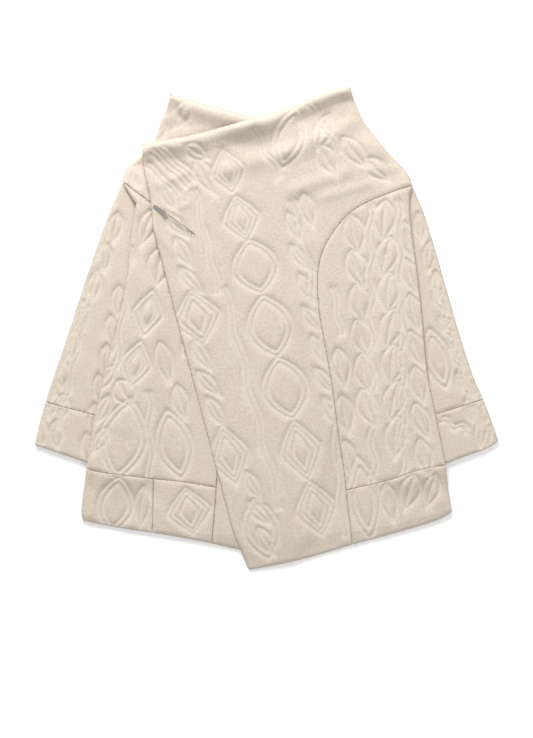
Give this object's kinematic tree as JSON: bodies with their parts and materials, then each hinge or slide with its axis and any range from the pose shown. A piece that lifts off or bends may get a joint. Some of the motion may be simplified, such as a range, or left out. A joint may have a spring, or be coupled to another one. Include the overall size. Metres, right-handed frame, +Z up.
{
  "type": "raglan wrap cardigan laid flat",
  "caption": "Wool wrap cardigan laid flat, with crossed fronts, a soft funnel collar, short wide sleeves and a long pin that holds the overlap.",
  "frame": {"origin": "middle of the garment's outline, on the surface that it lies on", "axes": "+X towards the wearer's left side, +Y from hem to collar, +Z up from the surface, out of the front"},
  "size_m": [0.694, 0.726, 0.0232],
  "materials": {
    "boiled_wool": "felted matte wool with a raised cable pattern",
    "pin_steel": "bright nickel-plated steel"
  },
  "bodies": {
    "root": {"back_panel": "boiled_wool", "right_front": "boiled_wool", "right_side_front": "boiled_wool", "right_hem_band_front": "boiled_wool", "right_hem_band_side": "boiled_wool", "left_front": "boiled_wool", "left_side_front": "boiled_wool", "left_hem_band": "boiled_wool", "right_sleeve": "boiled_wool", "right_cuff": "boiled_wool", "left_sleeve": "boiled_wool", "left_cuff": "boiled_wool", "pin_wire": "pin_steel", "pin_cap": "pin_steel"}
  },
  "joints": []
}
